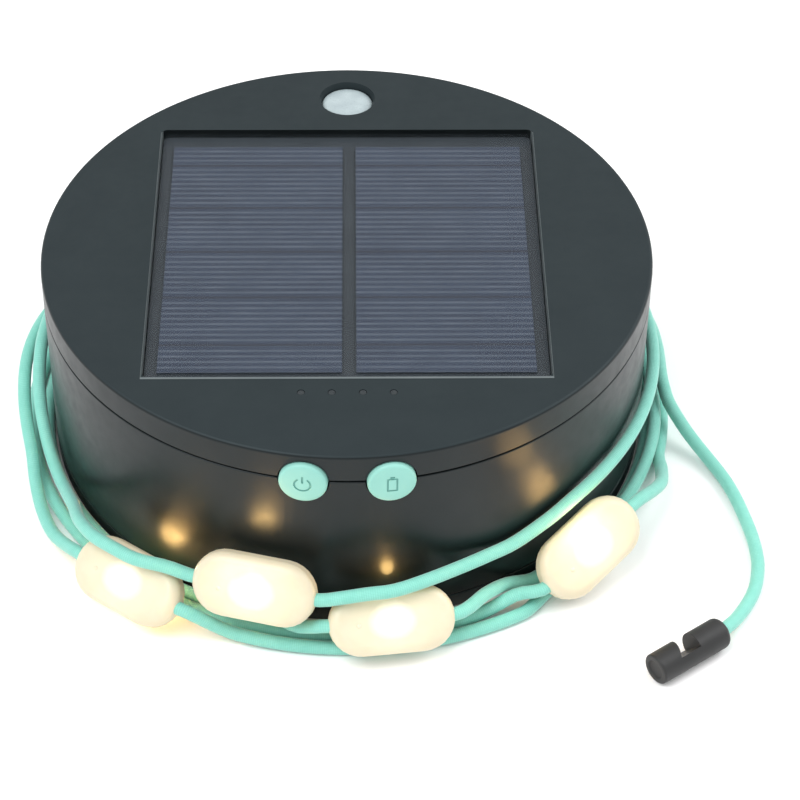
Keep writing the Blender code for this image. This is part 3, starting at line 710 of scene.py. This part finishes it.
def smooth(stations, column, angle):
    """One column of the stations at an angle, on a smooth curve that never overshoots."""
    index = max(i for i, row in enumerate(stations[:-1]) if row[0] <= angle)

    def rise(i):
        if not 0 <= i < len(stations) - 1:
            return 0.0
        step = stations[i + 1][0] - stations[i][0]
        return (stations[i + 1][column] - stations[i][column]) / step

    def slope(i):
        before, after = rise(i - 1), rise(i)
        return 2 * before * after / (before + after) if before * after > 0 else 0.0

    low, high = stations[index], stations[index + 1]
    step = high[0] - low[0]
    t = (angle - low[0]) / step
    return (
        low[column] * (1 + 2 * t) * (1 - t) ** 2 + high[column] * t * t * (3 - 2 * t)
        + step * slope(index) * t * (1 - t) ** 2 - step * slope(index + 1) * t * t * (1 - t)
    )


def cord_line():
    """The whole centreline, through every run and node, as evenly spaced points."""
    stations = []
    for number, run in enumerate(RUNS):
        stations += run
        if number < len(NODES):
            stations += node_stations(NODES[number])
    first, last = stations[0][0], stations[-1][0]
    count = round((last - first) / SAMPLE_STEP)
    angles = [first + (last - first) * i / count for i in range(count + 1)]
    points = [around(a, smooth(stations, 1, a), smooth(stations, 2, a)) for a in angles]
    length = [0.0]
    for before, after in zip(points, points[1:]):
        length.append(length[-1] + (after - before).length)
    rings = round(length[-1] / RING_STEP)
    found, index = [], 0
    for ring in range(rings + 1):
        reach = length[-1] * ring / rings
        while index < len(points) - 2 and length[index + 1] < reach:
            index += 1
        part = (reach - length[index]) / (length[index + 1] - length[index])
        found.append(points[index].lerp(points[index + 1], min(part, 1.0)))
    return found


def carried_frames(line):
    """Two directions across the line at each point, which turn with it and never twist about it."""
    frames = []
    side = None
    for before, after in zip(line[:1] + line, line[1:] + line[-1:]):
        ahead = (after - before).normalized()
        if side is None:
            side = ahead.cross(UP)
        side = (side - ahead * side.dot(ahead)).normalized()
        frames.append((side, ahead.cross(side)))
    return frames


def cord_tube(line, look):
    """A round tube along the line, with a UV map that counts strands along and round it."""
    bm = bmesh.new()
    layer = bm.loops.layers.uv.new("strands")
    rings = []
    for point, (side, other) in zip(line, carried_frames(line)):
        ring = []
        for step in range(CORD_SIDES):
            turn = math.tau * step / CORD_SIDES
            ring.append(bm.verts.new(
                point + (side * math.cos(turn) + other * math.sin(turn)) * CORD / 2))
        rings.append(ring)
    for index, (low, high) in enumerate(zip(rings, rings[1:])):
        for step in range(CORD_SIDES):
            following = (step + 1) % CORD_SIDES
            face = bm.faces.new((low[step], low[following], high[following], high[step]))
            corners = ((index, step), (index, step + 1), (index + 1, step + 1), (index + 1, step))
            for loop, (along, round_it) in zip(face.loops, corners):
                loop[layer].uv = (
                    along * RING_STEP / STRAND_PITCH,
                    round_it / CORD_SIDES * STRANDS_ROUND,
                )
    bm.faces.new(rings[0])
    bm.faces.new(rings[-1])
    return place("light_cord", bm, look, sharp=60)


# ---------------------------------------------------------------- LED nodes and the hook


def stadium(bm, inset, height):
    """One ring of a pill shape, pulled in by inset, at a height."""
    steps = 14
    half_width = NODE_WIDTH / 2
    straight = NODE_LENGTH / 2 - half_width
    radius = half_width - inset
    ring = []
    for end in (1, -1):
        for step in range(steps + 1):
            turn = math.pi * step / steps - math.pi / 2
            ring.append(bm.verts.new((
                end * (straight + radius * math.cos(turn)), end * radius * math.sin(turn), height)))
    return ring


def pill_profile():
    """(inset, height) points of a node's edge from below to above, with a parting line."""
    half, edge, flat_start = NODE_THICK / 2, 2.3, 5.2
    low = [(edge - x, -z) for x, z in arc((0, half - edge - 0.15), edge, 90, 4, 8)]
    parting = [(0.14, -0.05), (0.14, 0.05)]
    high = [(inset, -height) for inset, height in reversed(low)]
    return [(flat_start, -half)] + low + parting + high + [(flat_start, half)]


def led_node(number, node, look):
    """A frosted pill moulded over the cord, with a parting line and a small gate mark."""
    bm = bmesh.new()
    rings = [stadium(bm, inset, height) for inset, height in pill_profile()]
    for lower, upper in zip(rings, rings[1:]):
        for i, vert in enumerate(lower):
            j = (i + 1) % len(lower)
            bm.faces.new((vert, lower[j], upper[j], upper[i]))
    bm.faces.new(rings[0])
    bm.faces.new(rings[-1])
    centre, along, face = node_axes(node)
    across = face.cross(along)
    gate = at(turned([(0, 0), (0.55, 0), (0.4, 0.18), (0, 0.22)], 20),
              NODE_LENGTH / 2 - 6.2, 0.6, NODE_THICK / 2 - 0.03)
    whole = merged([bm, gate])
    turn = Matrix((along, across, face)).transposed().to_4x4()
    piece = place(f"frosted_node_{number}", whole, look, sharp=50)
    piece.matrix_world = Matrix.Translation(centre * MM) @ turn
    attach(piece, "housing")
    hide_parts(f"led_node_{number}")
    return piece


def hook(look):
    """The peg on the cord's end, with an undercut notch, a bore and a dished tip."""
    start = around(*HOOK_START)
    direction = (Vector(HOOK_TIP) - start).normalized()
    start = start + direction * 0.3
    length = (Vector(HOOK_TIP) - start).length
    fillet, rim = 1.3, 0.5
    profile = [(0, 0.5), (1.7, 0.5), (1.9, 0)]
    profile += arc((HOOK_RADIUS - fillet, fillet), fillet, -90, 0, 6)
    profile += arc((HOOK_RADIUS - rim, length - rim), rim, 0, 90, 4)
    profile += [(2.2, length), (1.9, length - 0.35), (0, length - 0.35)]
    peg = turned(profile, 56)
    level = Vector((direction.y, -direction.x, 0))
    tilt = math.radians(HOOK_TILT)
    opening = level * math.cos(tilt) + Vector((0, 0, math.sin(tilt)))
    basis = Matrix((opening, direction.cross(opening), direction)).transposed().to_4x4()
    piece = place("cord_hook", peg, look, sharp=40)
    middle = length / 2
    floor, mouth = -0.1, 6.0
    notch = prism([(floor, -1.1), (mouth, -1.1), (mouth, 1.7), (floor, 4.2)], -mouth, mouth)
    lay = Matrix.Translation((0, 0, middle)) @ Matrix.Rotation(math.pi / 2, 4, "X")
    bore = at(disc(1.75, 1.0, 2.2, 32), 0.2, 0, middle - 3.6)
    cut(piece, [moved(notch, lay), bore])
    soften(piece, 0.16, 45)
    piece.matrix_world = Matrix.Translation(start * MM) @ basis
    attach(piece, "housing")
    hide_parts("hook_clip")
    return piece


# ---------------------------------------------------------------- the puck's shells


def button_holes():
    hole = BUTTON_RADIUS + 0.3
    return [
        outward(disc(hole, 58.0, 70.0, 64), 180 + side * BUTTON_ANGLE, SEAM) for side in (-1, 1)
    ]


def top_shell(top_look, wall_look, rim_highlight_look, radius, top):
    """The lid, with its rounded rim, the panel's recess and the torch's bezel."""
    skirt = SEAM + SEAM_GAP
    inner = radius - WALL
    profile = [(0, 46.0), (inner, 46.0), (inner, skirt + 0.2), (inner + 0.2, skirt)]
    profile += [(radius - EDGE, skirt), (radius, skirt + EDGE)]
    profile += arc((radius - RIM_ROUND, top - RIM_ROUND), RIM_ROUND, 0, 90, 7)
    lid = place("top_shell", turned(profile + [(0, top)]), top_look)
    lid.data.materials.append(wall_look)
    lid.data.materials.append(rim_highlight_look)
    tray = (-TRAY_HALF, TRAY_HALF)
    pocket = (-POCKET_HALF, POCKET_HALF)
    floor = rounded_block(tray, tray, (42.6, 46.5), 6.0)
    helper = place("tray", floor, None)
    fuse = lid.modifiers.new("tray", "BOOLEAN")
    fuse.operation = "UNION"
    fuse.object = helper
    bpy.context.view_layer.update()
    apply_modifiers(lid)
    bpy.data.objects.remove(helper)
    bezel = turned([(0, 43.0), (TORCH_HOLE, 43.0), (TORCH_HOLE, 46.9), (TORCH_BEZEL, top + 0.1),
                    (0, top + 0.1)], 64)
    cut(lid, [
        rounded_block(pocket, pocket, (POCKET_FLOOR, top + 1), POCKET_ROUND),
        at(bezel, 0, TORCH_Y),
        *[at(disc(0.8, 40.0, 49.0, 28), x, INDICATOR_Y) for x in INDICATOR_XS],
        *button_holes(),
    ])
    soften(lid, EDGE, segments=3)
    wall_start = radius - RIM_ROUND * 0.35
    on_wall_and_shade, on_rim_highlight = 1, 2
    for face in lid.data.polygons:
        centre = face.center / MM
        reach = max(abs(centre.x), abs(centre.y))
        tilt = abs(face.normal.z)
        if centre.to_2d().length > wall_start and tilt < 0.6:
            face.material_index = on_wall_and_shade
        # Painted shade and highlight at the recess: its back wall takes the darker wall look, its front
        # and sides the lighter rim look.
        elif centre.z > POCKET_FLOOR and abs(reach - POCKET_HALF) < 0.35 and tilt < 0.98:
            face.material_index = on_wall_and_shade if centre.y > POCKET_HALF - 0.5 else on_rim_highlight
    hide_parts("top_cover")


def lower_shell(wall_look, radius):
    """The tub below the seam, with the cord's notch and the charging port's opening."""
    inner, neck = radius - WALL, 63.3
    bottom = CAP_TOP + SEAM_GAP
    low = arc((radius - EDGE, bottom + EDGE), EDGE, -90, 0, 3)
    high = arc((radius - EDGE, SEAM - EDGE), EDGE, 0, 90, 3)
    tub = place("lower_shell", turned([
        (0, 19.0), (inner, 19.0), (inner, bottom), *low, *high, (neck, SEAM), (neck, 44.5),
        (61.7, 44.5), (61.7, 38.6), (inner, 36.0), (inner, 21.0), (0, 21.0),
    ]), wall_look)
    corner = 2.4
    notch = rounded_block((-NOTCH_HALF, NOTCH_HALF), (-NOTCH_TOP, 3.0), (58.0, 70.0), corner)
    port_z = (-USB_HEIGHT - 2.2, -USB_HEIGHT + 2.2)
    port = rounded_block((-PORT_HALF, PORT_HALF), port_z, (58.0, 70.0), 1.2)
    cut(tub, [*button_holes(), outward(notch, 0), outward(port, 0)])
    soften(tub, 0.2)
    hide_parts("lower_housing")


def bottom_cap(look, radius):
    """The twist-off cap: a rounded rim, a ring groove and three pairs of finger dimples."""
    inner = radius - WALL - 0.4
    edge = 0.8
    profile = [(0, 0), (20.0, 0), (20.4, 0.5), (21.6, 0.5), (22.0, 0), (56.0, 0), (56.4, 0.5),
               (57.2, 0.5), (57.6, 0)]
    profile += arc((radius - edge, edge), edge, -90, 0, 6)
    profile += arc((radius - EDGE, CAP_TOP - EDGE), EDGE, 0, 90, 3)
    profile += [(inner, CAP_TOP), (inner, 5.5), (inner - 1.6, 5.5), (inner - 1.6, 2.4),
                (28.9, 2.4), (28.9, 6.6), (27.1, 6.6), (27.1, 2.4), (0, 2.4)]
    cap = place("bottom_cap", turned(profile), look, "base_cap")
    grips = []
    for angle in (30, 150, 270):
        for lean in (-7, 7):
            spot = around(angle + lean, 40.0, 0)
            grip = rounded_block((-2.0, 2.0), (-9.0, 9.0), (-1.0, 1.0), 1.99)
            turn = Matrix.Rotation(math.radians(-angle - lean), 4, "Z")
            grips.append(moved(grip, Matrix.Translation(spot) @ turn))
    cut(cap, grips)
    soften(cap, 0.25)
    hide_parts("base_cap")


# ---------------------------------------------------------------- buttons, port cover and panel


def ring_groove(inner, outer, depth, top, gap):
    """A flat ring, open by gap degrees about its +Y side, that cuts down from top."""
    start, end, steps = 90 + gap / 2, 450 - gap / 2, 40
    outline = arc((0, 0), outer, start, end, steps)
    back = arc((0, 0), inner, end, start, steps)
    return prism(outline + back, top - depth, top + 1)


def bar(x, y, depth, top):
    """A straight groove with rounded ends."""
    return rounded_block(x, y, (top - depth, top + 1), min(x[1] - x[0], y[1] - y[0]) * 0.49, 4)


def power_icon(depth, top):
    """A ring that is open at its top, and an upright bar in the opening."""
    return [ring_groove(1.45, 1.85, depth, top, 70), bar((-0.2, 0.2), (0.35, 2.2), depth, top)]


def battery_icon(depth, top):
    """The outline of an upright battery with its contact."""
    half, low, high, stroke = 1.15, -1.9, 1.6, 0.38
    return [
        bar((-half, -half + stroke), (low, high), depth, top),
        bar((half - stroke, half), (low, high), depth, top),
        bar((-half, half), (low, low + stroke), depth, top),
        bar((-half, half), (high - stroke, high), depth, top),
        bar((-0.5, 0.5), (high + 0.05, high + 0.5), depth, top),
    ]


def button(name, angle, icon, look, groove):
    """A soft round button with a rolled edge, a slightly domed face and a sunk icon, whose cut faces take
    a darker teal as painted shade.
    """
    radius, roll, dome = BUTTON_RADIUS, 0.7, 0.18
    profile = [(0, 61.5), (radius, 61.5)]
    profile += arc((radius - roll, BUTTON_FACE - dome - roll), roll, 0, 80, 6)
    profile += [(radius * share, BUTTON_FACE - dome * share * share) for share in (0.7, 0.5, 0.3)]
    profile += [(0, BUTTON_FACE)]
    cap = turned(profile, 96)
    bar_behind = rounded_block((-6.4, 6.4), (-3.5, 3.5), (59.9, 60.9), 0.8)
    post = disc(3.6, 60.5, 62.0, 32)
    stem = disc(1.8, 58.6, 60.4, 32)
    piece = place(name, cap, look, name, sharp=50)
    # The icon's cut faces take the darker teal: painted shade in the groove.
    cut(piece, icon(0.22, BUTTON_FACE), groove)
    more = merged([bar_behind, post, stem])
    helper = place("stem", more, look, name)
    for obj in (piece, helper):
        obj.data.transform(Matrix.Scale(1 / MM, 4))
    whole = bmesh.new()
    whole.from_mesh(piece.data)
    whole.from_mesh(helper.data)
    bpy.data.objects.remove(helper)
    half_turn = Matrix.Rotation(math.pi, 4, "Z")
    outward(moved(whole, half_turn), angle, SEAM)
    bmesh.ops.scale(whole, verts=whole.verts, vec=(MM, MM, MM))
    whole.to_mesh(piece.data)
    whole.free()
    piece.data.shade_smooth()
    piece.data.set_sharp_from_angle(angle=math.radians(50))
    return piece


def buttons(look, groove):
    for name, side, icon in (("power", 1, power_icon), ("battery", -1, battery_icon)):
        body = f"{name}_button"
        piece = button(body, 180 + side * BUTTON_ANGLE, icon, look, groove)
        piece.name = f"{name}_push_button"
        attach(piece, body)
        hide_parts(body)


def port_cover(look):
    """The rubber flap: a soft tab with a sunk border and a plug behind it."""
    low, high = 28.1, 37.0
    face = BUTTON_FACE
    flap = rounded_block((-7.5, 7.5), (-high, -low), (66.85, face), 1.6)
    piece = place("port_flap", outward(flap, 0), look, "usb_cover")
    border = prism(
        rounded_outline((-6.4, 6.4), (-high + 1.1, -low - 1.6), 1.2)
        + list(reversed(rounded_outline((-6.0, 6.0), (-high + 1.5, -low - 2.0), 1.0))),
        face - 0.18, face + 1)
    cut(piece, [outward(border, 0)])
    soften(piece, 0.18)
    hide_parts("usb_cover")
    plug = rounded_block((-4.2, 4.2), (-34.0, -31.2), (65.0, 66.9), 1.3)
    peg = place("port_flap_plug", outward(plug, 0), look, "usb_cover")
    soften(peg, 0.3)


def torch_window(look):
    """The lens in its bezel, gently domed."""
    rim = TORCH_HOLE - 0.3
    profile = [(0, 44.5), (TORCH_BEZEL, 44.5), (TORCH_BEZEL, 45.7), (rim, 45.7), (rim, 46.5)]
    profile += [(rim * math.cos(math.radians(step)), 46.5 + 0.5 * math.sin(math.radians(step)))
                for step in range(15, 90, 15)]
    lens = place("torch_window", at(turned(profile + [(0, 47.0)], 64), 0, TORCH_Y), look, sharp=50)
    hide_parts("torch_lens")


def solar_sheet(look):
    """The panel's clear face, with a dark slot left behind its back edge."""
    low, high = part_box("solar_cover_sheet")
    half = POCKET_HALF - 0.08
    back_gap, glue_gap, corner_steps = 0.5, 0.05, 1
    bm = rounded_block((-half, half), (-half, half - back_gap),
                       (low.z / MM + glue_gap, high.z / MM), POCKET_ROUND, corner_steps)
    sheet = place("solar_laminate", bm, look)
    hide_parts("solar_cover_sheet")


def panel_trim(look, top):
    """The fine raised lip along the front and the sides of the panel's recess. It takes the rim's lighter
    grey, a painted highlight.
    """
    reach, front, side = POCKET_HALF + 0.1, 0.55, 0.15
    lip = (top - 0.2, top + 0.06)
    bars = [rounded_block((-reach - side, reach + side), (-reach - front, -reach), lip, 0.1, 3)]
    for start in (-reach - side, reach):
        bars.append(rounded_block((start, start + side), (-reach, POCKET_HALF - 1.0), lip, 0.1, 3))
    place("panel_trim", merged(bars), look)


# ---------------------------------------------------------------- the frame's own nodes


def dress_nodes(packed, looks):
    """Gives every CAD node its own look if it has one, and otherwise the look of its slot."""
    slots = {row["node"]: row["material_slot"] for row in packed["record"]["subparts"]}
    for name, node in packed["nodes"].items():
        node.data.materials.clear()
        node.data.materials.append(looks.get(name, looks[slots[name]]))


# ---------------------------------------------------------------- stage


def area_light(name, place_at, target, size, power):
    """A white softbox in metres that points at the target."""
    data = bpy.data.lights.new(name, "AREA")
    data.shape = "RECTANGLE"
    data.size, data.size_y = size
    data.energy = power
    lamp = bpy.data.objects.new(name, data)
    lamp.location = place_at
    lamp.rotation_euler = (Vector(target) - Vector(place_at)).to_track_quat("-Z", "Y").to_euler()
    bpy.context.scene.collection.objects.link(lamp)


def led_lights():
    """Small warm lamps for the glow that the nodes throw on the wall."""
    for number, (spot, power, size) in enumerate(GLOWS, 1):
        data = bpy.data.lights.new(f"led_glow_{number}", "POINT")
        data.energy = power
        data.color = WARM
        data.shadow_soft_size = size * MM
        lamp = bpy.data.objects.new(f"led_glow_{number}", data)
        lamp.location = around(*spot) * MM
        bpy.context.scene.collection.objects.link(lamp)


def studio(look):
    """A white floor and sky, with a key light at the front left and a fill at the right."""
    floor_mesh = bmesh.new()
    bmesh.ops.create_grid(floor_mesh, x_segments=1, y_segments=1, size=FLOOR_REACH)
    floor = place("floor", at(floor_mesh, 0, 0, FLOOR_DROP), None)
    floor.data.materials.append(look)
    world = bpy.data.worlds.new("studio")
    world.use_nodes = True
    sky = world.node_tree.nodes["Background"]
    sky.inputs["Color"].default_value = (1.0, 1.0, 1.0, 1.0)
    sky.inputs["Strength"].default_value = 0.9
    bpy.context.scene.world = world
    middle = (0, 0, 0.02)
    area_light("key", (-0.35, -0.30, 0.75), middle, (0.5, 0.5), 5.0)
    area_light("fill", (0.55, 0.10, 0.55), middle, (0.5, 0.4), 3.0)
    bpy.context.scene.view_settings.view_transform = "Standard"


# ---------------------------------------------------------------- the whole scene

for leftover in list(bpy.data.objects):
    bpy.data.objects.remove(leftover)
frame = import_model()
add_camera()

top_look = housing_top_look()
wall_look = housing_wall_look()
mint_look = mint_rubber_look()
braid_look = cord_look()
shell_look = diffuser_look()
dark_look = charcoal_look()
soft_black = rubber_look()
sheet_look = cover_sheet_look()
window_look = lens_look()
slot_looks = {
    "black_housing": wall_look,
    "charcoal_plastic": dark_look,
    "mint_rubber": mint_look,
    "mint_cord": braid_look,
    "black_rubber": soft_black,
    "solar_cell": solar_cell_look(),
    "clear_sheet": light_pipe_look(),
    "frosted_diffuser": shell_look,
    "circuit_board": board_look(),
    "steel": metal_look("plated_steel", (0.50, 0.51, 0.53), (0.62, 0.63, 0.65), 0.26),
    "mirror_chrome": metal_look("chromed_reflector", (0.80, 0.81, 0.82), (0.88, 0.88, 0.89), 0.05),
    "battery_wrap": wrap_look(),
    "white_led": white_led_look(),
    "solar_back_board": panel_board_look(),
}
dress_nodes(frame, slot_looks)

cord_points = cord_line()
cord_piece = cord_tube(cord_points, braid_look)
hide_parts(*[f"cord_run_{number}" for number in range(1, len(RUNS) + 1)])
on_cord = [led_node(number, node, shell_look) for number, node in enumerate(NODES, 1)]
on_cord.append(hook(dark_look))

puck_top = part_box("top_cover")[1]
puck_radius = puck_top.x / MM
# Lighter grey for the recess's edges: a painted highlight.
rim_highlight_look = painted_rim_highlight_look()
top_shell(top_look, wall_look, rim_highlight_look, puck_radius, puck_top.z / MM)
panel_trim(rim_highlight_look, puck_top.z / MM)
lower_shell(wall_look, puck_radius)
bottom_cap(wall_look, puck_radius)
buttons(mint_look, painted_icon_shade_look())
port_cover(soft_black)
torch_window(window_look)
solar_sheet(sheet_look)

led_lights()
studio(floor_look())
